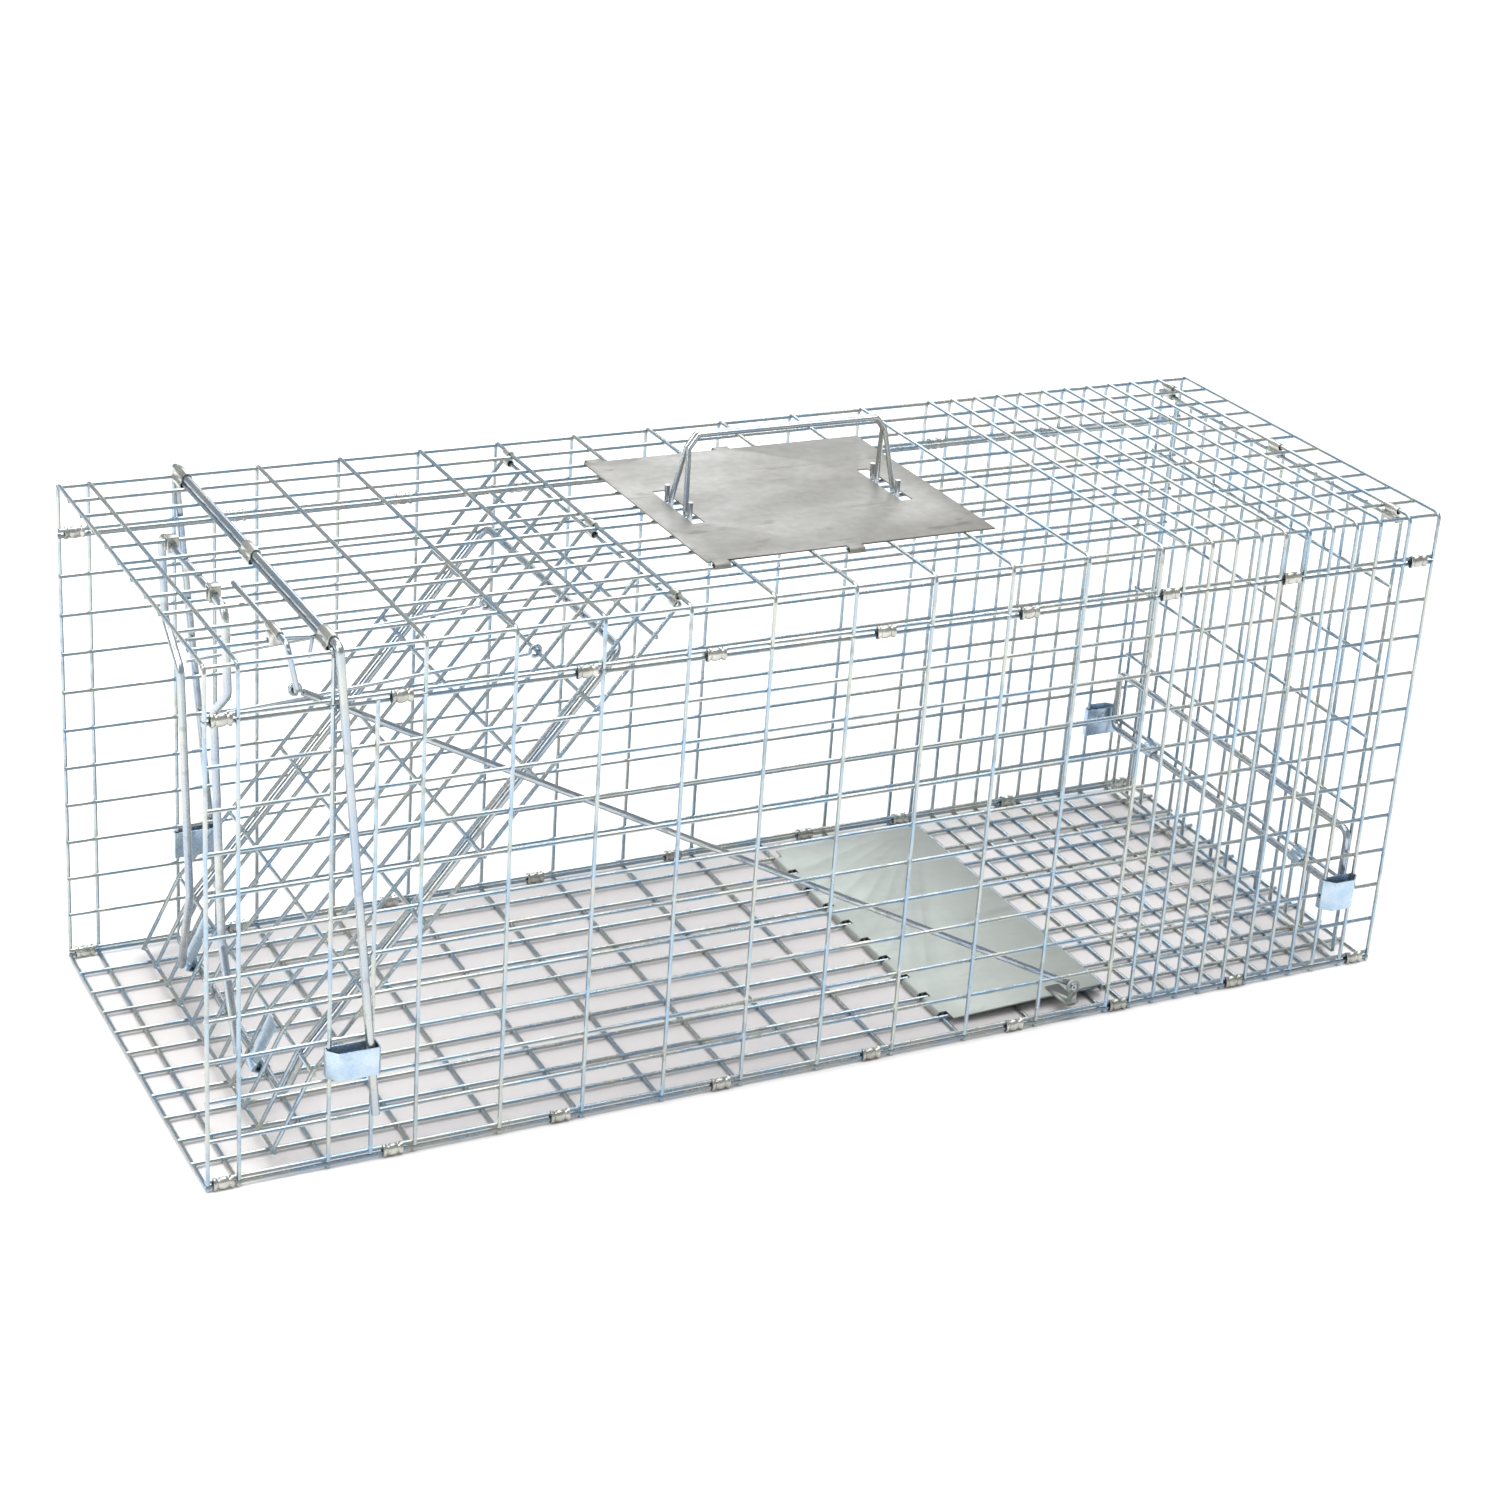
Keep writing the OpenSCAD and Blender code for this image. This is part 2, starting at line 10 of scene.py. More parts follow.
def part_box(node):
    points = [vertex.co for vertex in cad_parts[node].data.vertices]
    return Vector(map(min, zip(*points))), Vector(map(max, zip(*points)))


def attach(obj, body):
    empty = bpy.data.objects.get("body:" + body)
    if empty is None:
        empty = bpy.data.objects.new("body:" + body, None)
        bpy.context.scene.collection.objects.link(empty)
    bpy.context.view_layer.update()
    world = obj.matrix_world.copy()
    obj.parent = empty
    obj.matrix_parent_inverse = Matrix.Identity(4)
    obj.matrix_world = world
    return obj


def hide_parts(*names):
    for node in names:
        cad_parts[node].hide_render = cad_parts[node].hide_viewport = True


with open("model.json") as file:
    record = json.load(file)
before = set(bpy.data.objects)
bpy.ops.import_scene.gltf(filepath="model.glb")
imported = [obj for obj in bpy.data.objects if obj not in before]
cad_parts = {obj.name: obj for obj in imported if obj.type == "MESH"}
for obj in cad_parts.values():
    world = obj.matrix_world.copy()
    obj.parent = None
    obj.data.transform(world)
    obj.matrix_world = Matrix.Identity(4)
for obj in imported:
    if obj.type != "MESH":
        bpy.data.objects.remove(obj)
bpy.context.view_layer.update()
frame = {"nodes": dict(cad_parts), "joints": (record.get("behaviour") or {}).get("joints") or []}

mm = 0.001
nodes = frame["nodes"]
pivot = {joint["name"]: Vector(joint["pos_m"]) for joint in frame["joints"]}
X, Y, Z = Vector((1, 0, 0)), Vector((0, 1, 0)), Vector((0, 0, 1))


# Roof: one sheet of welded mesh, its cross wires laid over the lengthwise ones and turned down
# at both edges to make the skirts. The wire is galvanised after welding, so the zinc is bluish
# and satin, with duller grey and warmer patches.
class Level:
    """A shader value: the usual operators add Math nodes."""

    def __init__(self, finish, socket):
        self.finish = finish
        self.socket = socket

    def _with(self, operation, *others):
        values = [o.socket if isinstance(o, Level) else o for o in others]
        made = self.finish.node("ShaderNodeMath", {"operation": operation}, *values)
        return Level(self.finish, made.outputs[0])

    def __add__(self, other):
        return self._with("ADD", self, other)

    def __sub__(self, other):
        return self._with("SUBTRACT", self, other)

    def __rsub__(self, other):
        return self._with("SUBTRACT", other, self)

    def __mul__(self, other):
        return self._with("MULTIPLY", self, other)

    def __pow__(self, other):
        return self._with("POWER", self, other)

    def between(self, low, high):
        """0 below low, 1 above high and a straight ramp in between."""
        made = self.finish.node("ShaderNodeMapRange", {}, self.socket, low, high, 0.0, 1.0)
        return Level(self.finish, made.outputs[0])

    __radd__ = __add__
    __rmul__ = __mul__


class Finish:
    """A metal finish: one Principled shader and what feeds it."""

    def __init__(self, name, metal):
        self.material = bpy.data.materials.new(name)
        self.material.use_nodes = True
        self.tree = self.material.node_tree
        self.shader = self.tree.nodes["Principled BSDF"]
        self.shader.inputs["Metallic"].default_value = metal
        self.place = self.node("ShaderNodeTexCoord", {}).outputs["Object"]

    def node(self, kind, settings, *values):
        made = self.tree.nodes.new(kind)
        for key, value in settings.items():
            setattr(made, key, value)
        for socket, value in zip(made.inputs, values):
            if isinstance(value, bpy.types.NodeSocket):
                self.tree.links.new(value, socket)
            elif value is not None:
                socket.default_value = value
        return made

    def cloud(self, scale, detail=3.0, stretch=(1, 1, 1), offset=(0, 0, 0)):
        """Noise with features about 1/scale metres across."""
        spot = self.node("ShaderNodeMapping", {}, self.place, offset, (0, 0, 0), stretch)
        made = self.node("ShaderNodeTexNoise", {}, spot.outputs[0], None, scale, detail)
        return Level(self, made.outputs[0])

    def mix(self, amount, low, high):
        """Colour low where amount is 0 and high where it is 1."""
        made = self.node("ShaderNodeMix", {"data_type": "RGBA"})
        self.tree.links.new(amount.socket, made.inputs[0])
        for socket, value in ((made.inputs[6], low), (made.inputs[7], high)):
            if isinstance(value, bpy.types.NodeSocket):
                self.tree.links.new(value, socket)
            else:
                socket.default_value = (*value, 1)
        return made.outputs[2]

    def surface(self, colour, roughness, relief=None, height=0.1 * mm):
        self.tree.links.new(colour, self.shader.inputs["Base Color"])
        self.tree.links.new(roughness.socket, self.shader.inputs["Roughness"])
        if relief is not None:
            bump = self.node("ShaderNodeBump", {})
            bump.inputs["Strength"].default_value = 1.0
            bump.inputs["Distance"].default_value = height
            self.tree.links.new(relief.socket, bump.inputs["Height"])
            self.tree.links.new(bump.outputs[0], self.shader.inputs["Normal"])
        return self.material


def zinc_wire(name, cool, warm, dull, shine):
    """Zinc on drawn wire: cool and warm patches, dull grey runs and a fine grain."""
    finish = Finish(name, 0.92)
    patches = finish.cloud(38, 2).between(0.38, 0.64)
    runs = finish.cloud(95, 4, offset=(3, 1, 2)).between(0.52, 0.72)
    grain = finish.cloud(900, 2, offset=(7, 5, 1))
    colour = finish.mix(patches, cool, warm)
    colour = finish.mix(runs * 0.55, colour, dull)
    roughness = shine + runs * 0.16 + grain * 0.1
    return finish.surface(colour, roughness, grain + runs * 0.4, 0.12 * mm)


mesh_zinc = zinc_wire("mesh_zinc", (0.33, 0.43, 0.52), (0.46, 0.48, 0.45), (0.24, 0.265, 0.255), 0.18)

wire = 2.6 * mm
set_down = 0.7 * mm
stub = 1.2 * mm
edge_inset = 1.2 * mm
rows_across = 11
rows_up = 11
first_cell = 18 * mm
coarse_pitch = 52.2 * mm
fine_pitch = 18 * mm
coarse_cells = 11
fine_cells = 9
side_cell = 25.4 * mm
floor_low, floor_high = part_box("floor_panel")
front = floor_low.x + wire / 2
rear = floor_high.x - wire / 2
half_width = floor_high.y - wire / 2
coarse_xs = [front + first_cell + i * coarse_pitch for i in range(coarse_cells + 1)]
fine_xs = [coarse_xs[-1] + (i + 1) * fine_pitch for i in range(fine_cells)]
cross_xs = [front, *coarse_xs, *fine_xs, (fine_xs[-1] + rear) / 2, rear]
roof_low, roof_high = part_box("roof_panel")
roof_z = (roof_low.z + roof_high.z) / 2
rng = random.Random(20)


def rod_between(bm, start, end, thickness, sides=8):
    """One straight length of round wire."""
    start, end = Vector(start), Vector(end)
    along = end - start
    stand = along.to_track_quat("Z", "Y").to_matrix().to_4x4()
    bmesh.ops.create_cone(
        bm, cap_ends=True, segments=sides, radius1=thickness / 2, radius2=thickness / 2,
        depth=along.length, matrix=Matrix.Translation((start + end) / 2) @ stand)


def bent_rod(bm, points, thickness, bend, sides=14, steps=6):
    """A rod bent round a former: each run is extruded and each corner is spun."""
    points = [Vector(p) for p in points]
    along = (points[1] - points[0]).normalized()
    stand = along.to_track_quat("Z", "Y").to_matrix().to_4x4()
    ring = bmesh.ops.create_circle(
        bm, cap_ends=True, segments=sides, radius=thickness / 2,
        matrix=Matrix.Translation(points[0]) @ stand)
    edges = list({edge for vert in ring["verts"] for edge in vert.link_edges})
    here = points[0]
    for i in range(1, len(points)):
        trim = 0.0
        turn = 0.0
        if i < len(points) - 1:
            onward = (points[i + 1] - points[i]).normalized()
            turn = along.angle(onward)
            trim = bend * math.tan(turn / 2)
        stop = points[i] - along * trim
        moved = bmesh.ops.extrude_edge_only(bm, edges=edges)["geom"]
        edges = [part for part in moved if isinstance(part, bmesh.types.BMEdge)]
        verts = [part for part in moved if isinstance(part, bmesh.types.BMVert)]
        bmesh.ops.translate(bm, verts=verts, vec=stop - here)
        here = stop
        if turn > 0.01:
            axis = along.cross(onward).normalized()
            centre = stop + axis.cross(along) * bend
            spun = bmesh.ops.spin(
                bm, geom=edges, cent=centre, axis=axis, angle=turn,
                steps=max(2, round(steps * turn)), use_merge=False, use_duplicate=False)
            edges = [p for p in spun["geom_last"] if isinstance(p, bmesh.types.BMEdge)]
            here = points[i] + onward * trim
            along = onward
    bmesh.ops.contextual_create(bm, geom=edges)


def weld(bm, place, size, flat_axis):
    """The squashed nugget where two wires are welded."""
    squash = Matrix.Diagonal((*[0.62 if axis == flat_axis else 1.0 for axis in range(3)], 1))
    turn = Matrix.Rotation(rng.uniform(0, math.pi), 4, (X, Y, Z)[flat_axis])
    bmesh.ops.create_icosphere(
        bm, subdivisions=1, radius=size * rng.uniform(0.62, 0.74),
        matrix=Matrix.Translation(place) @ squash @ turn)


def finished(bm, name, material, body, *replaced):
    """Closes a piece's mesh and hangs it on its body in place of the plain nodes."""
    bmesh.ops.recalc_face_normals(bm, faces=bm.faces[:])
    mesh = bpy.data.meshes.new(name)
    bm.to_mesh(mesh)
    bm.free()
    for face in mesh.polygons:
        face.use_smooth = True
    mesh.materials.append(material)
    piece = bpy.data.objects.new(name, mesh)
    bpy.context.scene.collection.objects.link(piece)
    mesh.set_sharp_from_angle(angle=math.radians(40))
    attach(piece, body)
    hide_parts(*replaced)


skirt_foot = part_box("near_roof_skirt")[0].z + wire / 2
corner_bend = 4.5 * mm
lengthwise_ys = [-half_width + i * 2 * half_width / rows_across for i in range(rows_across + 1)]
over, under = roof_z + set_down, roof_z - set_down
edge = half_width + set_down
bm = bmesh.new()
for x in cross_xs:
    bent_rod(bm, [(x, -edge, skirt_foot - stub), (x, -edge, over), (x, edge, over),
                  (x, edge, skirt_foot - stub)], wire, corner_bend, sides=8, steps=5)
for y in lengthwise_ys:
    inset = math.copysign(edge_inset, y) if abs(y) > half_width - wire else 0
    rod_between(bm, (front - stub, y - inset, under), (rear + stub, y - inset, under), wire)
    for x in cross_xs:
        weld(bm, (x, y - inset, roof_z), wire, 2)
for side in (-1, 1):
    line = side * (half_width - set_down)
    rod_between(bm, (front - stub, line, skirt_foot), (rear + stub, line, skirt_foot), wire)
    for x in cross_xs:
        weld(bm, (x, side * half_width, skirt_foot), wire, 1)
finished(bm, "roof_mesh", mesh_zinc, "cage", "roof_panel", "near_roof_skirt", "far_roof_skirt")


# Side panels: flat welded mesh with the uprights outside and the lengthwise wires inside.
# One more upright stands behind each hoop keeper.
side_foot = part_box("near_side_panel")[0].z + wire / 2
keeper_x = front + 95.4 * mm
side_zs = [side_foot + i * side_cell for i in range(rows_up + 1)]
for side, name in ((-1, "near_side_panel"), (1, "far_side_panel")):
    bm = bmesh.new()
    outside = side * (half_width + set_down)
    inside = side * (half_width - set_down)
    for x in sorted([*cross_xs, keeper_x]):
        rod_between(bm, (x, outside, side_zs[0] - stub), (x, outside, side_zs[-1] + stub), wire)
        for z in side_zs:
            weld(bm, (x, side * half_width, z), wire, 1)
    for z in side_zs:
        rod_between(bm, (front - stub, inside, z), (rear + stub, inside, z), wire)
    finished(bm, name.replace("panel", "mesh"), mesh_zinc, "cage", name)


# Floor: the same mesh laid flat, its cross wires underneath so that the animal walks on the
# lengthwise ones. The treadle hooks round one of the cross wires.
floor_z = (floor_low.z + floor_high.z) / 2
bm = bmesh.new()
for x in cross_xs:
    rod_between(bm, (x, -half_width - stub, floor_z - set_down),
                (x, half_width + stub, floor_z - set_down), wire)
    for y in lengthwise_ys:
        weld(bm, (x, y, floor_z), wire, 2)
for y in lengthwise_ys:
    rod_between(bm, (front - stub, y, floor_z + set_down), (rear + stub, y, floor_z + set_down), wire)
finished(bm, "floor_mesh", mesh_zinc, "cage", "floor_panel")


# Front door: mesh whose lengthwise wires are bent once, near the bottom, to make a steeper
# lip. Its top cross wire turns in the hinge clips.
door_slope = math.radians(50.6)
lip_slope = math.radians(63.6)
lip_length = 51.6 * mm
door_low, door_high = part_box("door_panel")
door_half = door_high.y - wire / 2
door_top = pivot["door_lift"]
slope_down = Vector((-math.cos(door_slope), 0, -math.sin(door_slope)))
slope_out = Vector((-math.sin(door_slope), 0, math.cos(door_slope)))
lip_down = Vector((-math.cos(lip_slope), 0, -math.sin(lip_slope)))
lip_out = Vector((-math.sin(lip_slope), 0, math.cos(lip_slope)))
lip_top_z = door_low.z + wire / 2 * math.cos(lip_slope) + lip_length * math.sin(lip_slope)
door_length = (door_top.z - lip_top_z - wire / 2 * math.sin(lip_slope)) / math.sin(door_slope)


def on_door(along, across, out):
    """A place on the door: down the slope from the hinge, across, and out of its face."""
    if along <= door_length:
        place = door_top + slope_down * along + slope_out * out
    else:
        corner = door_top + slope_down * door_length
        place = corner + lip_down * (along - door_length) + lip_out * out
    return place + Y * across


door_cells = 10
rungs = 6
door_ys = [-door_half + i * 2 * door_half / door_cells for i in range(door_cells + 1)]
first_rung = door_length - rungs * coarse_pitch
door_rungs = [0.0, *[first_rung + i * coarse_pitch for i in range(rungs)], door_length,
              door_length + lip_length]
bm = bmesh.new()
for y in door_ys:
    bent_rod(bm, [on_door(-stub, y, set_down), on_door(door_length, y, set_down),
                  on_door(door_length + lip_length + stub, y, set_down)], wire, 3 * mm, sides=8)
for along in door_rungs:
    start = on_door(along, -door_half - stub, -set_down)
    rod_between(bm, start, start + Y * 2 * (door_half + stub), wire)
    for y in door_ys:
        weld(bm, on_door(along, y, 0), wire, 2)
finished(bm, "door_mesh", mesh_zinc, "front_door", "door_panel")


# Rear door: a closer mesh of the same wire, hung from a roof wire by three clips.
rear_low, rear_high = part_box("rear_door_panel")
rear_x = pivot["rear_door_swing"].x
rear_half = rear_high.y - wire / 2
rear_cells = 15
rear_ys = [-rear_half + i * rear_half * 2 / rear_cells for i in range(rear_cells + 1)]
rear_foot = rear_low.z + wire / 2
rear_zs = [*[rear_foot + i * coarse_pitch for i in range(rungs)], pivot["rear_door_swing"].z]
bm = bmesh.new()
for y in rear_ys:
    rod_between(bm, (rear_x + set_down, y, rear_foot - stub),
                (rear_x + set_down, y, rear_zs[-1] + stub), wire)
for z in rear_zs:
    back = rear_x - set_down
    rod_between(bm, (back, -rear_half - stub, z), (back, rear_half + stub, z), wire)
    for y in rear_ys:
        weld(bm, (rear_x, y, z), wire, 0)
finished(bm, "rear_door_mesh", mesh_zinc, "rear_door", "rear_door_panel")


# Stiffening rods: five-millimetre rod, cut, bent cold and zinc plated, with faint drawing lines
# and scuffs. The hoop straddles the roof and holds both sides.
def plated_rod(name, cool, warm):
    finish = Finish(name, 0.95)
    patches = finish.cloud(22, 2, offset=(1, 4, 2)).between(0.35, 0.65)
    lines = finish.cloud(420, 2, stretch=(0.25, 1, 0.25))
    scuffs = finish.cloud(130, 5, offset=(9, 2, 4)).between(0.57, 0.7)
    colour = finish.mix(patches, cool, warm)
    colour = finish.mix(scuffs * 0.3, colour, (0.17, 0.19, 0.20))
    roughness = 0.2 + lines * 0.14 + scuffs * 0.15
    return finish.surface(colour, roughness, lines + scuffs * 0.5, 0.04 * mm)


rod_zinc = plated_rod("rod_zinc", (0.33, 0.39, 0.47), (0.46, 0.48, 0.46))
rod = 5 * mm
hoop_low, hoop_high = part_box("front_hoop")
hoop_y = hoop_high.y - rod / 2
hoop_top = hoop_high.z - rod / 2
hoop_front = hoop_low.x + rod / 2
hoop_back = hoop_high.x - rod / 2
hoop_foot = hoop_low.z + 1 * mm
hoop_bend = 3.6 * mm
bm = bmesh.new()
bent_rod(bm, [(hoop_back, -hoop_y, hoop_foot), (hoop_front, -hoop_y, hoop_top),
              (hoop_front, hoop_y, hoop_top), (hoop_back, hoop_y, hoop_foot)],
         rod, hoop_bend, sides=20, steps=8)
finished(bm, "hoop_rod", rod_zinc, "cage", "front_hoop")

# Door frame rod: a closed ring of rod welded under the door, its two long sides bent with the
# lip. Its bottom bar carries the catch clips.
frame_half = 102 * mm
frame_top = 40 * mm
frame_foot = door_length + 28 * mm
slack = 0.3 * mm
below = -(wire / 2 + slack + rod / 2)
rod_bend = 8 * mm
bm = bmesh.new()
bent_rod(bm, [on_door(frame_top, 0, below), on_door(frame_top, -frame_half, below),
              on_door(door_length, -frame_half, below), on_door(frame_foot, -frame_half, below),
              on_door(frame_foot, frame_half, below), on_door(door_length, frame_half, below),
              on_door(frame_top, frame_half, below), on_door(frame_top, 0, below)],
         rod, rod_bend, sides=20, steps=8)
finished(bm, "door_frame_rod", rod_zinc, "front_door", "door_rod")

# Drop lock frame: one rod bent to a narrow-waisted loop that hangs behind the front opening
# and stands on the door's catch clips when the door is shut.
lock_top = pivot["lock_swing"]
lock_tilt = math.radians(1.6)
lock_down = Vector((math.sin(lock_tilt), 0, -math.cos(lock_tilt)))
# Half widths and drops below the hangers, in millimetres.
lock_outline = [(56, 282), (31.5, 222), (31.5, 74), (59.5, 52), (59.5, 0)]
lock_path = [lock_top + lock_down * drop * mm - Y * across * mm for across, drop in lock_outline]
lock_path += [lock_top + lock_down * drop * mm + Y * across * mm
              for across, drop in reversed(lock_outline)]
bm = bmesh.new()
bent_rod(bm, lock_path, rod, rod_bend, sides=20, steps=8)
finished(bm, "lock_rod", rod_zinc, "lock", "lock_frame")

# Lock links: two thin wires, each with an eye closed round a cross wire of the door.
link_wire = 3 * mm
link_low, link_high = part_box("lock_links")
link_eye = pivot["link_pivot"]
link_y = link_high.y - 1.9 * mm
eye_sides = 10


def closed_eye(centre, radius, first_angle):
    """The points of a wire eye, nearly a full turn round its centre."""
    turns = [first_angle - k * 2 * math.pi / eye_sides for k in range(eye_sides)]
    return [centre + Vector((math.cos(turn), 0, math.sin(turn))) * radius for turn in turns]


bm = bmesh.new()
for side in (-1, 1):
    eye = Vector((link_eye.x, side * link_y, link_eye.z))
    tip = Vector((link_low.x, side * link_y, link_low.z + link_wire / 2))
    loop = closed_eye(eye, 3.4 * mm, math.radians(200))
    bent_rod(bm, [tip, *loop], link_wire * 0.8, 1.2 * mm, sides=12)
finished(bm, "link_wires", rod_zinc, "links", "lock_links")

# Trigger lever: a bar across the roof, bent down to a hooked end for the pull rod, with a thin
# finger that holds the door up when the trap is set.
lever_axis = pivot["lever_turn"]
lever_wire = 3.4 * mm
rod_eye = pivot["rod_pivot"]
lever_low, lever_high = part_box("trigger_lever")
lever_y = lever_low.y + lever_wire / 2
finger_y = -129 * mm
finger_reach = 17 * mm
finger_drop = 13 * mm
finger_wire = 2.4 * mm
hook_reach = 6.5 * mm
bm = bmesh.new()
bent_rod(bm, [(lever_axis.x, lever_high.y, lever_axis.z), (lever_axis.x, lever_y, lever_axis.z),
              (rod_eye.x, lever_y, rod_eye.z), (rod_eye.x, lever_y + hook_reach, rod_eye.z)],
         lever_wire, 3 * mm, sides=16, steps=8)
bent_rod(bm, [(lever_axis.x, finger_y, lever_axis.z + 0.5 * mm),
              (lever_axis.x + finger_reach, finger_y, lever_axis.z - 1 * mm),
              (lever_axis.x + finger_reach - 2 * mm, finger_y, lever_axis.z - finger_drop)],
         finger_wire, 2 * mm, sides=12)
finished(bm, "lever_rod", rod_zinc, "lever", "trigger_lever")

# Pull rod: it hangs from the lever by a closed eye, runs down inside the near panel and ends in
# a pin through the treadle's crank.
pull_low, pull_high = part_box("trigger_rod")
pull_wire = 4 * mm
pull_y = lever_y + 4.4 * mm
pull_foot = Vector((pull_high.x - pull_wire / 2, pull_y, pull_low.z + pull_wire / 2))
pull_head = Vector((rod_eye.x, pull_y, rod_eye.z))
down = (pull_foot - pull_head).normalized()
tilt = math.atan2(down.z, down.x)
neck = pull_head + down * 5 * mm
pin_end = pull_foot - Y * 6.4 * mm
loop = closed_eye(pull_head, 3 * mm, tilt + math.radians(330))
bm = bmesh.new()
bent_rod(bm, [*loop, neck, pull_foot, pin_end], 2.4 * mm, 1 * mm, sides=12)
rod_between(bm, neck, pull_foot, pull_wire, sides=16)
rod_between(bm, pull_foot + Y * 1.4 * mm, pin_end, pull_wire, sides=16)
finished(bm, "pull_rod_wire", rod_zinc, "pull_rod", "trigger_rod")

# Rear latch: a flat ring of rod that turns in two clips on the rear door.
latch_axis = pivot["latch_turn"]
latch_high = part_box("latch_ring")[1]
latch_half = latch_high.y - rod / 2
latch_top = latch_high.z - rod / 2
latch_bend = 7 * mm
bm = bmesh.new()
bent_rod(bm, [(latch_axis.x, 0, latch_axis.z), (latch_axis.x, -latch_half, latch_axis.z),
              (latch_axis.x, -latch_half, latch_top), (latch_axis.x, latch_half, latch_top),
              (latch_axis.x, latch_half, latch_axis.z), (latch_axis.x, 0, latch_axis.z)],
         rod, latch_bend, sides=20, steps=8)
finished(bm, "latch_rod", rod_zinc, "latch", "latch_ring")

# Carrying handle: two wires lie side by side along the top; each leg goes down through a slot
# of the guard plate and its end is curled under a roof wire and up again.
handle_low, handle_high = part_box("carry_handle")
handle_wire = 3.2 * mm
grip_z = handle_high.z - handle_wire / 2
foot_z = handle_low.z + handle_wire / 2
near, far = handle_low.x + handle_wire / 2, handle_high.x - handle_wire / 2
guard_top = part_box("guard_plate")[1].z
hook_y = handle_high.y - handle_wire / 2
leg_y = hook_y - 6 * mm
grip_y = handle_wire / 2 + 0.15 * mm
tip_z, sill = guard_top + 8 * mm, guard_top + 1 * mm
shoulder_z = grip_z - 8 * mm
shoulder_in, grip_in = 4 * mm, 10 * mm
bm = bmesh.new()
for side in (-1, 1):
    hook, leg, grip = side * hook_y, side * leg_y, side * grip_y
    bent_rod(bm, [(near, hook, tip_z), (near, hook, foot_z), (near, leg, foot_z),
                  (near, leg, sill), (near + shoulder_in, grip, shoulder_z),
                  (near + grip_in, grip, grip_z), (far - grip_in, grip, grip_z),
                  (far - shoulder_in, grip, shoulder_z), (far, leg, sill), (far, leg, foot_z),
                  (far, hook, foot_z), (far, hook, tip_z)],
             handle_wire, 2.4 * mm, sides=18, steps=8)
finished(bm, "handle_wires", rod_zinc, "cage", "carry_handle")


# Folded sheet parts: cut from bright zinc-plated sheet and bent by hand on a brake, so their
# edges are soft and the plating shows a blue passivation film.
def folded(node, name, material, body, edge=0.18 * mm):
    """The node's own shape with its cut edges rounded over."""
    bm = bmesh.new()
    bm.from_mesh(nodes[node].data)
    bmesh.ops.remove_doubles(bm, verts=bm.verts[:], dist=0.005 * mm)
    bmesh.ops.dissolve_limit(
        bm, angle_limit=math.radians(1), verts=bm.verts[:], edges=bm.edges[:])
    sharp = [e for e in bm.edges if e.is_manifold and e.calc_face_angle(0) > math.radians(35)]
    bmesh.ops.bevel(bm, geom=sharp, offset=edge, offset_type="OFFSET", affect="EDGES",
                    segments=2, profile=0.5, material=-1, clamp_overlap=True)
    finished(bm, name, material, body, node)


def bright_sheet(name, cool, warm):
    finish = Finish(name, 0.9)
    film = finish.cloud(60, 3, offset=(2, 2, 8)).between(0.35, 0.65)
    rolled = finish.cloud(160, 3, stretch=(1, 0.2, 1), offset=(5, 1, 1))
    marks = finish.cloud(240, 4, offset=(1, 7, 3)).between(0.6, 0.68)
    colour = finish.mix(film, cool, warm)
    colour = finish.mix(marks * 0.4, colour, (0.4, 0.43, 0.46))
    return finish.surface(colour, 0.2 + rolled * 0.14 + marks * 0.12, rolled, 0.15 * mm)


blue_sheet = bright_sheet("blue_sheet", (0.33, 0.45, 0.58), (0.47, 0.56, 0.64))
clip_zinc = bright_sheet("clip_zinc", (0.34, 0.34, 0.31), (0.58, 0.58, 0.53))
folded("front_keeper_plates", "hoop_keepers", blue_sheet, "cage")
folded("rear_keeper_plates", "latch_keepers", blue_sheet, "cage")
folded("lock_hangers", "lock_stirrups", clip_zinc, "cage")
folded("door_catch_clips", "catch_strips", blue_sheet, "front_door")
folded("latch_clips", "latch_ring_clips", blue_sheet, "rear_door")
folded("trigger_bracket", "lever_sleeve", clip_zinc, "cage")
folded("hoop_sleeves", "hoop_sleeve_rings", clip_zinc, "cage")
folded("door_hinge_clips", "door_hinge_rings", clip_zinc, "cage")
folded("rear_hinge_clips", "rear_hinge_rings", clip_zinc, "cage")


# Edge clips: short zinc-plated strips rolled round two neighbouring wires and crimped, with the
# waist squeezed in and the lips a little flared.
def crimped_clip(bm, x, y, low, high, length):
    """One rolled clip: loops along its length are scaled to make the crimp."""
    centre = (low + high) / 2
    tall = (high - low) / 2
    wide = 2.7 * mm
    turn = Matrix.Rotation(math.pi / 2, 4, "Y")
    loops = []
    # Place along the clip and swell, from one flared lip to the other.
    shape = [(-1, 0.9), (-0.96, 1.05), (-0.8, 1.08), (-0.66, 0.92), (-0.52, 0.72), (-0.36, 0.9),
             (0, 1.02), (0.36, 0.9), (0.52, 0.72), (0.66, 0.92), (0.8, 1.08), (0.96, 1.05), (1, 0.9)]
    for place, swell in shape:
        size = Matrix.Diagonal((tall * min(swell, 1.0), wide * swell, 1, 1))
        ring = bmesh.ops.create_circle(
            bm, cap_ends=False, segments=14, radius=1.0,
            matrix=Matrix.Translation((x + place * length / 2, y, centre)) @ turn @ size)
        loops.append(list({e for v in ring["verts"] for e in v.link_edges}))
    for one, two in zip(loops, loops[1:]):
        bmesh.ops.bridge_loops(bm, edges=one + two)


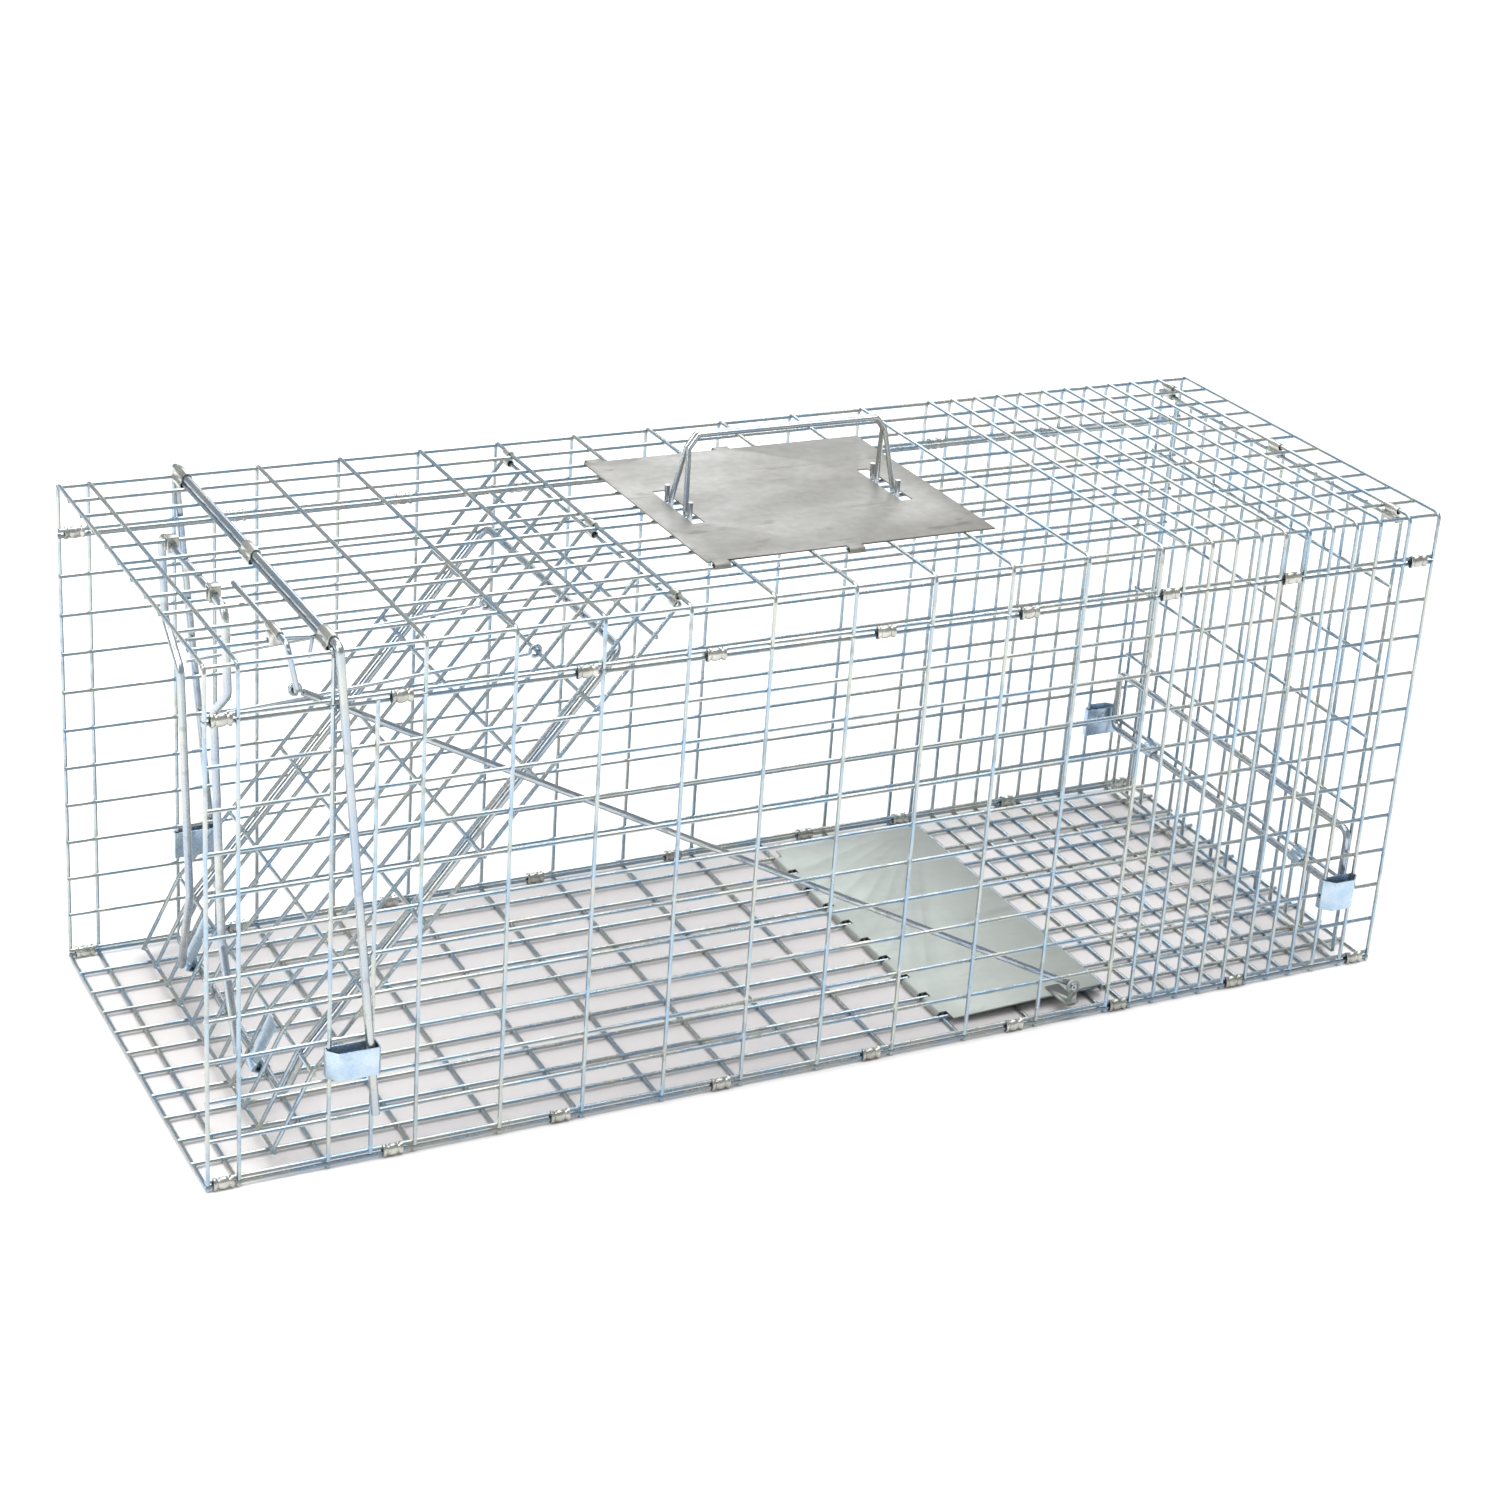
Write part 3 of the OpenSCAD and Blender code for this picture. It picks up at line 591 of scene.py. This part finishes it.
clip_length = 12 * mm
clip_wall = 0.5 * mm
clip_places = {
    "top_panel_clips": (9, 109, 217, 296, 405, 502, 601.2, 691.2, 788.5),
    "bottom_panel_clips": (9, 109, 213, 318, 421, 524, 601.2, 691.2, 788.5)}
for node, places in clip_places.items():
    low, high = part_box(node)
    bm = bmesh.new()
    for along in places:
        for side in (-1, 1):
            crimped_clip(bm, front + along * mm, side * half_width, low.z, high.z, clip_length)
    bmesh.ops.recalc_face_normals(bm, faces=bm.faces[:])
    bmesh.ops.solidify(bm, geom=bm.faces[:], thickness=clip_wall)
    finished(bm, node.replace("panel", "edge"), clip_zinc, "cage", node)


# Sheet-metal guard and treadle: plain galvanised sheet, dull grey with soft cloudy stains and a
# few scratches from the press. The guard keeps the carrying hand away from the animal.
def dull_sheet(name, pale, dark, stain, mottle):
    finish = Finish(name, 0.55)
    clouds = finish.cloud(24, 5, stretch=(0.7, 1.3, 1), offset=(4, 3, 1)).between(0.36, 0.66)
    spangle = finish.cloud(150, 4, offset=(1, 1, 6)).between(0.4, 0.62)
    stains = finish.cloud(36, 3, stretch=(1, 2.4, 1), offset=(8, 2, 3)).between(0.62, 0.72)
    scratches = finish.cloud(75, 2, stretch=(0.12, 3.0, 1), offset=(2, 9, 5)).between(0.66, 0.69)
    colour = finish.mix(clouds * mottle, pale, dark)
    colour = finish.mix(spangle * 0.22 * mottle, colour, stain)
    colour = finish.mix(stains * mottle * 0.7 + scratches * mottle * 0.45, colour, stain)
    roughness = 0.44 + clouds * 0.1 - scratches * 0.08
    return finish.surface(colour, roughness, clouds + scratches * 0.3, 0.2 * mm)


guard_zinc = dull_sheet("guard_zinc", (0.255, 0.25, 0.235), (0.20, 0.195, 0.18),
                        (0.11, 0.10, 0.09), 1.0)
treadle_zinc = dull_sheet("treadle_zinc", (0.37, 0.395, 0.37), (0.33, 0.352, 0.33),
                          (0.26, 0.278, 0.265), 0.5)
folded("guard_plate", "hand_guard", guard_zinc, "cage", 0.2 * mm)
folded("treadle_plate", "treadle_sheet", treadle_zinc, "treadle", 0.2 * mm)
folded("treadle_crank", "treadle_crank_strip", treadle_zinc, "treadle", 0.12 * mm)


# The plain nodes hidden under the pieces are zinc as well: rod finish on the rods and the hoop,
# mesh finish on all the rest.
for node, cad in nodes.items():
    cad.data.materials.clear()
    cad.data.materials.append(rod_zinc if "rod" in node or "hoop" in node else mesh_zinc)

# The trap stands on white studio paper under broad soft lights. The paper carries painted shade,
# greyer under the cage, and a painted glow further off, where it would have lamps of its own.
bm = bmesh.new()
bmesh.ops.create_grid(bm, x_segments=1, y_segments=1, size=6)
floor_mesh = bpy.data.meshes.new("studio_floor")
bm.to_mesh(floor_mesh)
bm.free()
studio_floor = bpy.data.objects.new("studio_floor", floor_mesh)
bpy.context.scene.collection.objects.link(studio_floor)
paper = Finish("studio_paper", 0.0)
paper_grain = paper.cloud(3, 2)
spot = paper.node("ShaderNodeSeparateXYZ", {}, paper.place)
along = Level(paper, spot.outputs[0]) * (1 / floor_high.x)
across = Level(paper, spot.outputs[1]) * (1 / floor_high.y)
# Painted shade: the paper's colour is greyer inside the cage's footprint, where the cage's shade
# would fall.
outside_painted_shade = (along ** 8 + across ** 8).between(0.75, 1.5)
paper_with_painted_shade = paper.mix(outside_painted_shade, (0.60, 0.575, 0.575), (0.93, 0.93, 0.935))
floor_mesh.materials.append(paper.surface(paper_with_painted_shade, 0.75 + paper_grain * 0.1))
# Painted light: the paper glows more the further it lies from the cage.
distance = paper.node("ShaderNodeVectorMath", {"operation": "LENGTH"}, paper.place)
far_off = Level(paper, distance.outputs[1]).between(0.45, 1.6)
painted_glow = paper.mix(far_off, (0, 0, 0), (0.6, 0.6, 0.6))
paper.tree.links.new(painted_glow, paper.shader.inputs["Emission Color"])
paper.shader.inputs["Emission Strength"].default_value = 1.0

world = bpy.data.worlds.new("studio")
world.use_nodes = True
world.node_tree.nodes["Background"].inputs["Color"].default_value = (0.95, 0.975, 1.0, 1)
world.node_tree.nodes["Background"].inputs["Strength"].default_value = 0.5
bpy.context.scene.world = world
for name, place, size, power, colour in (
        ("top_light", (0.2, 0.1, 2.4), 2.4, 80, (1.0, 0.99, 0.98)),
        ("left_light", (-2.6, -0.9, 1.4), 1.2, 20, (1.0, 0.98, 0.95)),
        ("front_light", (-1.7, -0.4, 1.8), 0.9, 22, (1.0, 0.99, 0.97)),
        ("back_light", (1.0, 2.4, 1.8), 1.4, 22, (0.93, 0.97, 1.0))):
    lamp = bpy.data.lights.new(name, "AREA")
    lamp.size = size
    lamp.energy = power
    lamp.color = colour
    light = bpy.data.objects.new(name, lamp)
    light.location = place
    aim = Vector((0, 0, 0.15)) - Vector(place)
    light.rotation_euler = aim.to_track_quat("-Z", "Y").to_euler()
    bpy.context.scene.collection.objects.link(light)

# The camera looks down on the near front corner, a little rolled.
azimuth, elevation, roll = math.radians(-27.93), math.radians(23.73), math.radians(3.99)
back = Vector((math.sin(azimuth) * math.cos(elevation), -math.cos(azimuth) * math.cos(elevation),
               math.sin(elevation)))
level = (-back).cross(Z).normalized()
upward = level.cross(-back)
right = level * math.cos(roll) + upward * math.sin(roll)
top = upward * math.cos(roll) - level * math.sin(roll)
lens = bpy.data.cameras.new("camera")
lens.sensor_width = 36
lens.lens = 72.99
lens.shift_x = 0.0077
lens.shift_y = -0.0277
lens.clip_end = 50
camera = bpy.data.objects.new("camera", lens)
camera.matrix_world = Matrix.Translation((-0.8275, -1.53985, 0.94658)) @ Matrix(
    (right, top, back)).transposed().to_4x4()
bpy.context.scene.collection.objects.link(camera)
bpy.context.scene.camera = camera
bpy.context.scene.view_settings.view_transform = "Standard"
